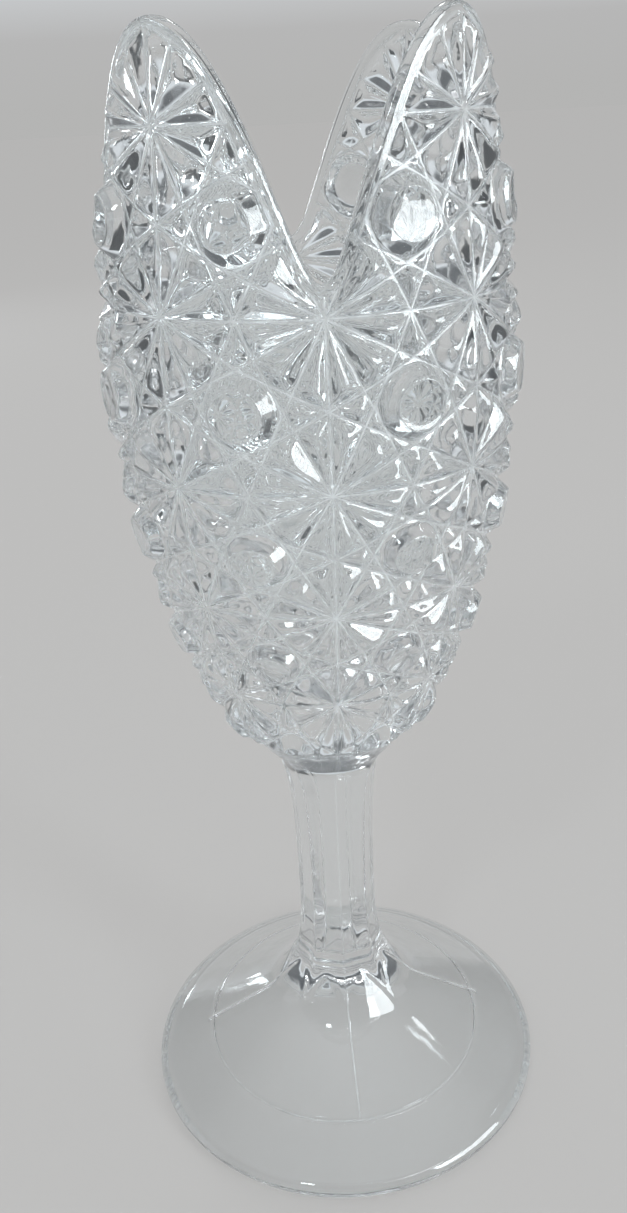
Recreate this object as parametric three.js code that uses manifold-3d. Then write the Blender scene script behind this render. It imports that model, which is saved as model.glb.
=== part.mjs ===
// Pressed glass vase: a tulip bowl with four pointed lobes, covered in a star-and-button
// relief, on a solid eight-sided stem and a hollow conical foot.
// Millimetres, +Z up, origin at the centre of the circle the foot stands on.

import * as THREE from 'three';
import { mergeVertices } from 'three/addons/utils/BufferGeometryUtils.js';
import Module from 'manifold-3d';

// Foot: a cone whose rim overhangs the ring it stands on; the shell is measured upright, and the
// hollow's crown reaches up to the cover below the stem
const footRadius = 52.5;
const footRimTopHeight = 5.4;
const footRimOverhang = 2.4;
const footRingWidth = 2.1;
const footHollowFlare = 2.6;
const footShell = 5.6;
const footCrownRadius = 18;
const footCrownCover = 2;
const footSegments = 80;
const footCurveSteps = 4;
const footTopMargin = 0.2;

// Stem: radii are to the edges between panels; the flare at its base and the collar under the
// bowl are curves with these handles
const stemSides = 8;
const stemBaseHeight = 22;
const stemBaseRadius = 20.2;
const stemWaistHeight = 52;
const stemWaistRadius = 9.9;
const stemTopRadius = 13.2;
const stemFlareReach = 4.6;
const stemFlareRise = 6;
const stemFlareLength = 14;
const stemNeckLength = 20;
const stemNeckPinch = 0.2;
const stemCollarLength = 8.2;
const stemEdgeRounding = 0.06;
const stemLevels = 28;

// Bowl: radii of the outer wall at the bottom of the grooves, and the handles of its curves
const bowlBaseHeight = 98.2;
const bowlHeight = 161.8;
const undersideTopHeight = 109;
const undersideTopRadius = 21.6;
const bellyHeight = 197;
const bellyRadius = 42;
const mouthRadius = 37.8;
const wallThickness = 4.2;
const cavityFloorHeight = 113;
const cavityFloorReach = 13;
const cavityWallRise = 30;
const undersideHollow = 0.6;
const bellyTuck = 9;
const bellyTuckRise = 16;
const bellyReachBelow = 32;
const bellyReachAbove = 13;
const mouthReachBelow = 43;
const mouthLean = 0.2;

// Rim: four rounded lobes with a V-shaped valley between each two, and a plain band along it
const lobes = 4;
const lobeDepth = 43.5;
const lobeFullness = 2.2;
const valleyRounding = 3.4;
const rimBand = 4.2;
const stepsPerHalfLobe = 8;
const valleyCrowding = 1.4;
const undersideSteps = 4;
const sunkSteps = 10;
const roundSteps = 6;
const cavitySteps = 12;
const lineSteps = 160;

// Relief: eight columns of twelve-rayed stars, a raised button between each four. The top row of
// centres lies above the rim and the lowest one below the pattern. Shares are of a column's width.
const starColumns = 8;
const starRowHeights = [275, 243, 211, 178.3, 151.2, 127.5, 92];
const reliefFoot = 109.5;
const reliefShare = 0.095;
const petalSlope = 1;
const buttonTopShare = 0.152;
const buttonDishShare = 0.012;
const buttonSides = 16;
const grooveLift = 0.3;
const blankSink = 0.9;
const blankStep = 1.8;
const rampSlope = 0.8;
const rampOverlap = 0.6;

const rimHeight = bowlBaseHeight + bowlHeight;
const valleyHeight = rimHeight - lobeDepth;

// The glass colour is clear with a slight cool grey
const glassRoughness = 0.05;
const glassOpacity = 0.35;
const glass = new THREE.MeshStandardMaterial({
  color: 0xe9eef0,
  roughness: glassRoughness,
  metalness: 0,
  transparent: true,
  opacity: glassOpacity,
});

// Solids

const wasm = await Module();
wasm.setup();

function solidFrom(geometry) {
  const bare = geometry.clone();
  bare.deleteAttribute('normal');
  bare.deleteAttribute('uv');
  const merged = mergeVertices(bare, 1e-4);
  return new wasm.Manifold(new wasm.Mesh({
    numProp: 3,
    vertProperties: Float32Array.from(merged.attributes.position.array),
    triVerts: Uint32Array.from(merged.index.array),
  }));
}

function geometryFrom(solid) {
  const mesh = solid.getMesh();
  const geometry = new THREE.BufferGeometry();
  geometry.setAttribute('position', new THREE.BufferAttribute(Float32Array.from(mesh.vertProperties), 3));
  geometry.setIndex(new THREE.BufferAttribute(Uint32Array.from(mesh.triVerts), 1));
  geometry.computeVertexNormals();
  return geometry;
}

// A LatheGeometry turns about Y, so it is stood up to turn about Z
function lathe(points, segments) {
  const geometry = new THREE.LatheGeometry(points, segments);
  geometry.rotateX(Math.PI / 2);
  return geometry;
}

// A closed skin through rings of points, each ring running the same way round +Z;
// the first ring is closed by a fan onto its own centre, and so is the last
function loft(rings, firstCentre, lastCentre) {
  const around = rings[0].length;
  const positions = rings.flat().flatMap((point) => point.toArray());
  const index = [];
  for (let ring = 0; ring < rings.length - 1; ring += 1) {
    for (let side = 0; side < around; side += 1) {
      const next = (side + 1) % around;
      const a = ring * around + side;
      const b = ring * around + next;
      const c = (ring + 1) * around + next;
      const d = (ring + 1) * around + side;
      index.push(a, b, c, a, c, d);
    }
  }
  const first = positions.length / 3;
  positions.push(...firstCentre.toArray(), ...lastCentre.toArray());
  const lastRing = (rings.length - 1) * around;
  for (let side = 0; side < around; side += 1) {
    const next = (side + 1) % around;
    index.push(first, next, side);
    index.push(first + 1, lastRing + side, lastRing + next);
  }
  const geometry = new THREE.BufferGeometry();
  geometry.setAttribute('position', new THREE.Float32BufferAttribute(positions, 3));
  geometry.setIndex(index);
  geometry.computeVertexNormals();
  return geometry;
}

function polar(radius, angle, height) {
  return new THREE.Vector3(radius * Math.sin(angle), -radius * Math.cos(angle), height);
}

// Bowl lines: radius against height

// Outer wall at the level of the groove bottoms
const wallLine = new THREE.Path()
  .moveTo(stemTopRadius, bowlBaseHeight)
  .quadraticCurveTo(
    (stemTopRadius + undersideTopRadius) / 2 - undersideHollow,
    (bowlBaseHeight + undersideTopHeight) / 2,
    undersideTopRadius,
    undersideTopHeight,
  )
  .bezierCurveTo(
    bellyRadius - bellyTuck, undersideTopHeight + bellyTuckRise,
    bellyRadius, bellyHeight - bellyReachBelow,
    bellyRadius, bellyHeight,
  )
  .bezierCurveTo(
    bellyRadius, bellyHeight + bellyReachAbove,
    mouthRadius + mouthLean, starRowHeights[0] - mouthReachBelow,
    mouthRadius, starRowHeights[0],
  );

// Inner wall, from its floor on the axis to the mouth
const cavityBellyRadius = bellyRadius - wallThickness;
const cavityMouthRadius = mouthRadius - wallThickness;
const cavityLine = new THREE.Path()
  .moveTo(0, cavityFloorHeight)
  .bezierCurveTo(
    cavityFloorReach, cavityFloorHeight,
    cavityBellyRadius, cavityFloorHeight + cavityWallRise,
    cavityBellyRadius, bellyHeight,
  )
  .bezierCurveTo(
    cavityBellyRadius, bellyHeight + bellyReachAbove,
    cavityMouthRadius + mouthLean, starRowHeights[0] - mouthReachBelow,
    cavityMouthRadius, starRowHeights[0],
  );

function sample(path) {
  return path.curves.flatMap((curve, part) => curve.getPoints(lineSteps).slice(part === 0 ? 0 : 1));
}

const wallSamples = sample(wallLine);
const cavitySamples = sample(cavityLine);

// Point and outward normal of a line at a height
function lineAt(samples, height) {
  const above = samples.findIndex((point) => point.y >= height - 1e-9);
  const upper = Math.max(1, above < 0 ? samples.length - 1 : above);
  const low = samples[upper - 1];
  const high = samples[upper];
  const share = (height - low.y) / (high.y - low.y);
  const along = new THREE.Vector2().subVectors(high, low).normalize();
  return {
    radius: low.x + (high.x - low.x) * share,
    normal: new THREE.Vector2(along.y, -along.x),
  };
}

// Height of the rim at an angle from a valley: round the valley floor the line is a hyperbola,
// then a lobe rises steeply and rounds over to its tip
const lobeAngle = (2 * Math.PI) / lobes;
const halfLobe = lobeAngle / 2;

function rimAt(angle) {
  const folded = Math.abs(angle - lobeAngle * Math.round(angle / lobeAngle));
  const rounding = valleyRounding / mouthRadius;
  const climb = (turn) => Math.hypot(turn, rounding) - rounding;
  const share = climb(folded) / climb(halfLobe);
  return valleyHeight + lobeDepth * (1 - (1 - share) ** lobeFullness);
}

// Height of the line that stays a distance inside the rim
function insideRim(angle, distance) {
  const probes = 24;
  let height = Infinity;
  for (let probe = -probes; probe <= probes; probe += 1) {
    const share = probe / probes;
    const reachAround = rimAt(angle + (share * distance) / mouthRadius);
    height = Math.min(height, reachAround - distance * Math.sqrt(1 - share * share));
  }
  return height;
}

// Angles round the bowl, closer together in the valleys, where the rim turns sharply
const rimAngles = [];
for (let lobe = 0; lobe < lobes; lobe += 1) {
  for (let step = 0; step < stepsPerHalfLobe; step += 1) {
    rimAngles.push(lobe * lobeAngle + halfLobe * (step / stepsPerHalfLobe) ** valleyCrowding);
  }
  for (let step = stepsPerHalfLobe; step > 0; step -= 1) {
    rimAngles.push((lobe + 1) * lobeAngle - halfLobe * (step / stepsPerHalfLobe) ** valleyCrowding);
  }
}

// Plain wall of the bowl with its rounded rim. It is sunk a little where the relief lies on it,
// so that the relief alone makes the surface there.
function blank() {
  const lip = wallThickness / 2;
  const sections = rimAngles.map((angle) => {
    const section = [];
    const outer = (height, sink) => {
      section.push([lineAt(wallSamples, height).radius - sink, height]);
    };
    for (let step = 0; step <= undersideSteps; step += 1) {
      outer(bowlBaseHeight + (reliefFoot + rampOverlap - bowlBaseHeight) * (step / undersideSteps), 0);
    }
    const band = insideRim(angle, rimBand) - rampOverlap;
    const low = reliefFoot + rampOverlap + blankStep;
    const high = band - blankStep;
    for (let step = 0; step <= sunkSteps; step += 1) {
      outer(low + (high - low) * (step / sunkSteps), blankSink);
    }
    outer(band, 0);
    for (let step = 0; step <= roundSteps; step += 1) {
      const turn = (Math.PI * step) / roundSteps;
      const height = insideRim(angle, lip * (1 - Math.sin(turn)));
      const outside = lineAt(wallSamples, height).radius;
      const inside = lineAt(cavitySamples, height).radius;
      section.push([
        (outside + inside) / 2 + ((outside - inside) / 2) * Math.cos(turn),
        height,
      ]);
    }
    const shoulder = insideRim(angle, lip);
    for (let step = 1; step < cavitySteps; step += 1) {
      const depth = Math.sin((Math.PI / 2) * (step / cavitySteps));
      const height = shoulder - (shoulder - cavityFloorHeight) * depth;
      section.push([lineAt(cavitySamples, height).radius, height]);
    }
    return section;
  });
  const rings = sections[0].map((_, level) => sections.map((section, column) => (
    polar(section[level][0], rimAngles[column], section[level][1])
  )));
  return loft(
    rings,
    new THREE.Vector3(0, 0, bowlBaseHeight),
    new THREE.Vector3(0, 0, cavityFloorHeight),
  );
}

// Star-and-button relief. Straight grooves run through every star centre: one upright, one level
// and four that climb or fall by half a cell, so twelve rays meet there and six rays halfway
// between. Each patch left between the grooves is a raised facet with its peak where it is
// furthest from them, and the eight-sided patch amid four stars is a button.
const columnAngle = (2 * Math.PI) / starColumns;

function heightOfRow(row) {
  const upper = Math.min(starRowHeights.length - 2, Math.max(0, Math.floor(row)));
  const share = row - upper;
  return starRowHeights[upper] * (1 - share) + starRowHeights[upper + 1] * share;
}

// Point of the relief: u counts star columns, v counts rows downwards, and the lift is a share
// of the width of a column there
function reliefPoint(u, v, liftShare) {
  const height = heightOfRow(v);
  const { radius, normal } = lineAt(wallSamples, height);
  const lift = grooveLift + liftShare * radius * columnAngle;
  return polar(radius + lift * normal.x, u * columnAngle, height + lift * normal.y);
}

const star = [0, 0];
const raySplit = [0.25, 0];
const halfway = [0.5, 0];
const crossing = [0.4, 0.2];
const crossingSplit = [0.2, 0.1];
const flatCorner = [0.5, 0.25];
const diagonalCorner = [1 / 3, 1 / 3];

const mirrorDiagonal = ([u, v]) => [v, u];
const mirrorUpright = ([u, v]) => [1 - u, v];
const quarterTurn = ([u, v]) => [1 - v, u];

// Patches between the grooves in one corner of a cell, each with its peak
const narrowPetal = {
  outline: [star, raySplit, halfway, crossing, crossingSplit],
  peak: [0.388, 0.085],
};
const widePetal = {
  outline: [
    star, crossingSplit, crossing, diagonalCorner,
    mirrorDiagonal(crossing), mirrorDiagonal(crossingSplit),
  ],
  peak: [0.25, 0.25],
};
const kite = { outline: [halfway, mirrorUpright(crossing), flatCorner, crossing], peak: [0.5, 1 / 6] };
const wedge = { outline: [crossing, flatCorner, diagonalCorner], peak: [0.417, 0.252] };

function mirrored(patch, mirror) {
  return { outline: patch.outline.map(mirror).reverse(), peak: mirror(patch.peak) };
}

const cornerPatches = [
  narrowPetal,
  mirrored(narrowPetal, mirrorDiagonal),
  widePetal,
  kite,
  wedge,
  mirrored(wedge, mirrorUpright),
];

// Distance from the peak to the nearest groove, in cells
function reach(outline, [peakU, peakV]) {
  return Math.min(...outline.map(([u, v], place) => {
    const [nextU, nextV] = outline[(place + 1) % outline.length];
    const cross = (nextU - u) * (peakV - v) - (nextV - v) * (peakU - u);
    return Math.abs(cross) / Math.hypot(nextU - u, nextV - v);
  }));
}

function addFacets(triangles, column, row, { outline, peak }) {
  const lift = Math.min(reliefShare, petalSlope * reach(outline, peak));
  const top = reliefPoint(column + peak[0], row + peak[1], lift);
  outline.forEach(([u, v], place) => {
    const [nextU, nextV] = outline[(place + 1) % outline.length];
    const a = reliefPoint(column + u, row + v, 0);
    const b = reliefPoint(column + nextU, row + nextV, 0);
    triangles.push(b, a, top);
  });
}

function addButton(triangles, column, row) {
  const base = [];
  let corner = flatCorner;
  let slantCorner = mirrorUpright(diagonalCorner);
  for (let side = 0; side < 4; side += 1) {
    base.push(corner, slantCorner);
    corner = quarterTurn(corner);
    slantCorner = quarterTurn(slantCorner);
  }
  const foot = base.map(([u, v]) => reliefPoint(column + u, row + v, 0));
  const rim = [];
  for (let side = 0; side < buttonSides; side += 1) {
    const turn = (2 * Math.PI * side) / buttonSides - Math.PI / 2;
    rim.push(reliefPoint(
      column + 0.5 + buttonTopShare * Math.cos(turn),
      row + 0.5 + buttonTopShare * Math.sin(turn),
      reliefShare,
    ));
  }
  const dish = reliefPoint(column + 0.5, row + 0.5, reliefShare - buttonDishShare);
  for (let side = 0; side < foot.length; side += 1) {
    const nextFoot = foot[(side + 1) % foot.length];
    const rimStart = 2 * side;
    triangles.push(foot[side], rim[rimStart], rim[rimStart + 1]);
    triangles.push(foot[side], rim[rimStart + 1], nextFoot);
    triangles.push(nextFoot, rim[rimStart + 1], rim[(rimStart + 2) % buttonSides]);
  }
  for (let side = 0; side < buttonSides; side += 1) {
    triangles.push(rim[side], dish, rim[(side + 1) % buttonSides]);
  }
}

function relief() {
  const triangles = [];
  const rows = starRowHeights.length - 1;
  for (let row = 0; row < rows; row += 1) {
    for (let column = 0; column < starColumns; column += 1) {
      for (const patch of cornerPatches) {
        let turned = patch;
        for (let turn = 0; turn < 4; turn += 1) {
          addFacets(triangles, column, row, turned);
          turned = { outline: turned.outline.map(quarterTurn), peak: quarterTurn(turned.peak) };
        }
      }
      addButton(triangles, column, row);
    }
  }
  const topCentre = new THREE.Vector3(0, 0, reliefPoint(0, 0, 0).z);
  const bottomCentre = new THREE.Vector3(0, 0, reliefPoint(0, rows, 0).z);
  for (let step = 0; step < 4 * starColumns; step += 1) {
    triangles.push(topCentre, reliefPoint(step / 4, 0, 0), reliefPoint((step + 1) / 4, 0, 0));
    triangles.push(bottomCentre, reliefPoint((step + 1) / 4, rows, 0), reliefPoint(step / 4, rows, 0));
  }
  const geometry = new THREE.BufferGeometry().setFromPoints(triangles);
  geometry.setIndex(triangles.map((_, place) => place));
  return geometry;
}

// The room the relief may fill: it starts above the plain underside and slopes off under the rim
// band, so that the petals run out into both
function reliefRoom() {
  const near = 5;
  const far = 60;
  const edge = rimAngles.map((angle) => insideRim(angle, rimBand));
  const ringAt = (radius, heightOf) => rimAngles.map((angle, place) => (
    polar(radius, angle, heightOf(edge[place], radius))
  ));
  const foot = () => reliefFoot;
  const ramp = (height, radius) => (
    height + rampSlope * (lineAt(wallSamples, height).radius - radius)
  );
  return loft(
    [ringAt(near, foot), ringAt(far, foot), ringAt(far, ramp), ringAt(near, ramp)],
    new THREE.Vector3(0, 0, reliefFoot),
    new THREE.Vector3(0, 0, rimHeight + 2 * far),
  );
}

// Core that leaves only a shell of the relief, with its inner face buried in the wall
function reliefCore() {
  const skin = (wallThickness + blankSink) / 2;
  const line = [new THREE.Vector2(0, stemBaseHeight)];
  for (let step = 0; step <= sunkSteps; step += 1) {
    const height = bowlBaseHeight + (starRowHeights[0] - bowlBaseHeight) * (step / sunkSteps);
    line.push(new THREE.Vector2(lineAt(wallSamples, height).radius - skin, height));
  }
  line.push(new THREE.Vector2(0, 2 * rimHeight));
  return lathe(line, rimAngles.length);
}

function makeBowl() {
  const shell = solidFrom(relief())
    .intersect(solidFrom(reliefRoom()))
    .subtract(solidFrom(reliefCore()));
  return geometryFrom(solidFrom(blank()).add(shell));
}

// Stem: eight flat panels with slightly rounded edges, flared at both ends
const stemLine = new THREE.Path()
  .moveTo(stemBaseRadius, stemBaseHeight)
  .bezierCurveTo(
    stemWaistRadius + stemFlareReach, stemBaseHeight + stemFlareRise,
    stemWaistRadius, stemBaseHeight + stemFlareLength,
    stemWaistRadius, stemWaistHeight,
  )
  .bezierCurveTo(
    stemWaistRadius, stemWaistHeight + stemNeckLength,
    stemWaistRadius - stemNeckPinch, bowlBaseHeight - stemCollarLength,
    stemTopRadius, bowlBaseHeight,
  );

function makeStem() {
  const halfPanel = Math.PI / stemSides;
  const levels = stemLine.curves.flatMap((curve, part) => (
    curve.getPoints(stemLevels / 2).slice(part === 0 ? 0 : 1)
  ));
  const rings = levels.map((level) => {
    const ring = [];
    for (let side = 0; side < stemSides; side += 1) {
      const middle = (2 * side + 1) * halfPanel;
      for (const offset of [stemEdgeRounding - halfPanel, halfPanel - stemEdgeRounding]) {
        const radius = (level.x * Math.cos(halfPanel)) / Math.cos(offset);
        ring.push(polar(radius, middle + offset, level.y));
      }
    }
    return ring;
  });
  return loft(
    rings,
    new THREE.Vector3(0, 0, stemBaseHeight),
    new THREE.Vector3(0, 0, bowlBaseHeight),
  );
}

// Foot: a cone with a flat top for the stem, a rounded rim and a hollow underneath that follows
// the cone, with a rounded crown
function makeFoot() {
  const topRadius = stemBaseRadius + footTopMargin;
  const rimTop = footRadius - footRimOverhang;
  const coneSlope = (stemBaseHeight - footRimTopHeight) / (rimTop - topRadius);
  const hollowRadius = rimTop - footRingWidth;
  const hollowEdge = hollowRadius - footHollowFlare;
  const coneHeight = (radius) => footRimTopHeight + coneSlope * (rimTop - radius);
  const crownTop = stemBaseHeight - footCrownCover;
  const crownEdge = rimTop - (crownTop + footShell - footRimTopHeight) / coneSlope;
  const section = new THREE.Path()
    .moveTo(0, crownTop)
    .lineTo(crownEdge / 2, crownTop)
    .quadraticCurveTo(
      crownEdge, crownTop,
      footCrownRadius, coneHeight(footCrownRadius) - footShell,
    )
    .lineTo(hollowEdge, coneHeight(hollowEdge) - footShell)
    .lineTo(hollowRadius, 0)
    .lineTo(rimTop, 0)
    .quadraticCurveTo(footRadius, 0, footRadius, footRimTopHeight / 2)
    .quadraticCurveTo(footRadius, footRimTopHeight, rimTop, footRimTopHeight)
    .lineTo(topRadius, stemBaseHeight)
    .lineTo(0, stemBaseHeight);
  return lathe(section.getPoints(footCurveSteps), footSegments);
}

// Assembly

const vase = new THREE.Group();
vase.name = 'pressed_glass_vase';

function addPiece(name, geometry) {
  const piece = new THREE.Mesh(geometry, glass);
  piece.name = name;
  vase.add(piece);
}

addPiece('foot', makeFoot());
addPiece('stem', makeStem());
addPiece('bowl', makeBowl());

export default vase;
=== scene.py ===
import math

import bmesh
import bpy
import mathutils.kdtree
import numpy as np
from mathutils import Matrix, Vector


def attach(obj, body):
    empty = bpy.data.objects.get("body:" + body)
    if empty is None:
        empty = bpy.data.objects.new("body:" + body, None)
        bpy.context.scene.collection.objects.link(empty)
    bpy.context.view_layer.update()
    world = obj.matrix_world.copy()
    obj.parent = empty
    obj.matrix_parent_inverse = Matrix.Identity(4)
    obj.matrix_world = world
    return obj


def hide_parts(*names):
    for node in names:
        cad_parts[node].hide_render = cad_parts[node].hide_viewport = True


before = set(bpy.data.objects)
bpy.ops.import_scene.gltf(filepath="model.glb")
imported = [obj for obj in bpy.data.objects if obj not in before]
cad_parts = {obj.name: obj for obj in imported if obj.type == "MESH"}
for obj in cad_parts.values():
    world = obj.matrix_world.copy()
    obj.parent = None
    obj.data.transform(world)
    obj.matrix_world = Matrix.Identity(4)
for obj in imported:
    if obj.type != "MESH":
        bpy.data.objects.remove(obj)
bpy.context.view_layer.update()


# Camera
# A phone held close to the vase and above its rim, looking down at it and tilted a little.
# One valley of the rim faces -Y, and the camera stands a few degrees to its left.
MM = 0.001
FOCAL_PIXELS = 1100
PHOTO_HEIGHT = 1213
SENSOR = 36
CAMERA_AZIMUTH = -4.15
CAMERA_PLACE = Vector((0, -235.8, 246.3)) * MM
LOOK_ASIDE = 0.52
LOOK_DOWN = 24.86
CAMERA_ROLL = -3.20
NEAREST_SEEN = 0.01
BOUNCES = 32
GLOSSY_BOUNCES = 16

camera_data = bpy.data.cameras.new("camera")
camera_data.sensor_width = SENSOR
camera_data.lens = SENSOR * FOCAL_PIXELS / PHOTO_HEIGHT
camera_data.clip_start = NEAREST_SEEN
camera = bpy.data.objects.new("camera", camera_data)
bpy.context.scene.collection.objects.link(camera)
camera.matrix_world = (
    Matrix.Rotation(math.radians(CAMERA_AZIMUTH), 4, "Z")
    @ Matrix.Translation(CAMERA_PLACE)
    @ Matrix.Rotation(math.radians(LOOK_ASIDE), 4, "Z")
    @ Matrix.Rotation(math.radians(90 - LOOK_DOWN), 4, "X")
    @ Matrix.Rotation(math.radians(CAMERA_ROLL), 4, "Z")
)
bpy.context.scene.camera = camera
bpy.context.scene.view_settings.view_transform = "Standard"
bpy.context.scene.cycles.max_bounces = BOUNCES
bpy.context.scene.cycles.transmission_bounces = BOUNCES
bpy.context.scene.cycles.glossy_bounces = GLOSSY_BOUNCES


# Node trees
# Sums on sockets are written as plain expressions, and every other node comes from Tree.node.
class Wire:
    """The output of a node. Arithmetic on it adds Math nodes to its tree."""

    def __init__(self, tree, socket):
        self.tree = tree
        self.socket = socket

    def math(self, operation, *operands):
        return self.tree.node(
            "ShaderNodeMath", {"operation": operation}, dict(enumerate(operands))
        )

    def __add__(self, other):
        return self.math("ADD", self, other)

    def __radd__(self, other):
        return self.math("ADD", other, self)

    def __sub__(self, other):
        return self.math("SUBTRACT", self, other)

    def __rsub__(self, other):
        return self.math("SUBTRACT", other, self)

    def __mul__(self, other):
        return self.math("MULTIPLY", self, other)

    def __rmul__(self, other):
        return self.math("MULTIPLY", other, self)

    def __truediv__(self, other):
        return self.math("DIVIDE", self, other)

    def output(self, name):
        """Another output of the node that this one comes from."""
        return Wire(self.tree, self.socket.node.outputs[name])


class Tree:
    """A node tree that is filled by node()."""

    def __init__(self, tree):
        self.tree = tree

    def node(self, kind, settings=None, values=None, output=0):
        made = self.tree.nodes.new(kind)
        for name, setting in (settings or {}).items():
            if name == "color_ramp":
                self.set_stops(made.color_ramp, setting)
            else:
                setattr(made, name, setting)
        for key, value in (values or {}).items():
            if isinstance(value, Wire):
                self.tree.links.new(value.socket, made.inputs[key])
            else:
                made.inputs[key].default_value = value
        return Wire(self, made.outputs[output]) if made.outputs else made

    def set_stops(self, ramp, stops):
        for place, (position, colour) in enumerate(stops):
            stop = ramp.elements[place] if place < 2 else ramp.elements.new(1.0)
            stop.position = position
            stop.color = colour


# Floor, world and lamps
# A pale floor, a pale surround, and soft boxes to the right, on the left, in front and above. Two
# cards behind the vase draw the dark lines that show clear glass.
FLOOR_REACH = 12
FLOOR_DROP = -0.05 * MM
FLOOR_COLOUR = (0.60, 0.59, 0.58, 1)
FLOOR_AS_SEEN = (0.50, 0.495, 0.49, 1)
SEEN_SHARE = 0.65


def seen_rays(tree):
    """1 on rays that see a surface directly, reflected or through glass, and 0 on its light."""
    camera_ray = tree.node("ShaderNodeLightPath", output="Is Camera Ray")
    seen = camera_ray.math("MAXIMUM", camera_ray, camera_ray.output("Is Glossy Ray"))
    seen = seen.math("MAXIMUM", seen, camera_ray.output("Is Transmission Ray"))
    unscattered = seen.math("LESS_THAN", camera_ray.output("Diffuse Depth"), 0.5)
    return seen * unscattered


def lay_floor():
    sides = ((-1, -1), (1, -1), (1, 1), (-1, 1))
    corners = [(x * FLOOR_REACH, y * FLOOR_REACH, FLOOR_DROP) for x, y in sides]
    mesh = bpy.data.meshes.new("floor")
    mesh.from_pydata(corners, [], [(0, 1, 2, 3)])
    floor = bpy.data.objects.new("floor", mesh)
    bpy.context.scene.collection.objects.link(floor)
    material = bpy.data.materials.new("floor_paint")
    material.use_nodes = True
    material.node_tree.nodes.clear()
    tree = Tree(material.node_tree)
    paint = tree.node("ShaderNodeBsdfDiffuse", None, {"Color": FLOOR_COLOUR})
    pale = tree.node("ShaderNodeEmission", None, {"Color": FLOOR_AS_SEEN})
    share = seen_rays(tree) * SEEN_SHARE
    mixed = tree.node("ShaderNodeMixShader", None, {0: share, 1: paint, 2: pale})
    tree.node("ShaderNodeOutputMaterial", None, {"Surface": mixed})
    mesh.materials.append(material)


lay_floor()

# Colours of the surround, each at the height of its view above the horizon: a bright band low
# down, a dark one above it, and pale overhead.
SURROUND = (
    (0.0, (0.46, 0.46, 0.455, 1)),
    (0.05, (0.47, 0.47, 0.47, 1)),
    (0.13, (0.70, 0.735, 0.765, 1)),
    (0.22, (0.70, 0.735, 0.765, 1)),
    (0.30, (0.14, 0.15, 0.16, 1)),
    (0.62, (0.10, 0.11, 0.12, 1)),
    (0.80, (0.50, 0.51, 0.52, 1)),
    (1.00, (0.78, 0.80, 0.82, 1)),
)
FILL = {"Color": (0.97, 0.99, 1.0, 1), "Strength": 0.7}


def light_world():
    world = bpy.data.worlds.new("studio")
    bpy.context.scene.world = world
    world.use_nodes = True
    world.node_tree.nodes.clear()
    tree = Tree(world.node_tree)
    way = tree.node("ShaderNodeTexCoord", output="Generated")
    height = tree.node("ShaderNodeSeparateXYZ", None, {0: way}, output="Z")
    surround = tree.node("ShaderNodeValToRGB", {"color_ramp": SURROUND}, {0: height})
    shown = tree.node("ShaderNodeBackground", None, {"Color": surround, "Strength": 1.0})
    fill = tree.node("ShaderNodeBackground", None, FILL)
    mixed = tree.node("ShaderNodeMixShader", None, {0: seen_rays(tree), 1: fill, 2: shown})
    tree.node("ShaderNodeOutputWorld", None, {"Surface": mixed})


light_world()

LAMP_AIM = Vector((0, 0, 0.15))


def add_lamp(name, azimuth, elevation, distance, size, brightness, colour):
    """A soft box that faces the bowl. Brightness is how bright its face looks, 1 as white."""
    data = bpy.data.lights.new(name, "AREA")
    data.shape = "RECTANGLE"
    data.size, data.size_y = size
    data.energy = brightness * math.pi * size[0] * size[1]
    data.color = colour
    turn, tilt = math.radians(azimuth), math.radians(elevation)
    level = math.cos(tilt)
    way = Vector((math.sin(turn) * level, -math.cos(turn) * level, math.sin(tilt)))
    lamp = bpy.data.objects.new(name, data)
    lamp.visible_camera = False
    lamp.location = LAMP_AIM + way * distance
    lamp.rotation_euler = way.to_track_quat("Z", "Y").to_euler()
    bpy.context.scene.collection.objects.link(lamp)
    return lamp


# Azimuth and elevation are in degrees, and distances and sizes in metres.
add_lamp("window_right", 45, 19, 1.7, (0.36, 0.5), 18, (0.91, 0.97, 1.0))
add_lamp("window_side", 102, 42, 1.6, (0.07, 0.15), 12, (0.91, 0.97, 1.0))
add_lamp("window_left", -152, 9, 1.5, (0.09, 0.26), 20, (0.91, 0.97, 1.0))
add_lamp("box_front", -30, 42, 1.6, (0.15, 0.26), 24, (0.90, 0.97, 1.0))
add_lamp("box_top", 165, 58, 1.6, (0.26, 0.14), 20, (1.0, 1.0, 1.0))

# This one shows only as a reflection, and gives the glare on the lobe at the right.
sill = add_lamp("window_sill", 58, 15, 1.6, (1.1, 1.0), 12, (0.90, 0.97, 1.0))
sill.visible_diffuse = sill.visible_transmission = False

FLAG_DISTANCE = 0.8
FLAG_HEIGHT = 0.35
FLAG_STEPS = 12
FLAG_SHADES = ((0.0, (0.47, 0.465, 0.46, 1)), (0.05, (0.07, 0.075, 0.08, 1)))


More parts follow.
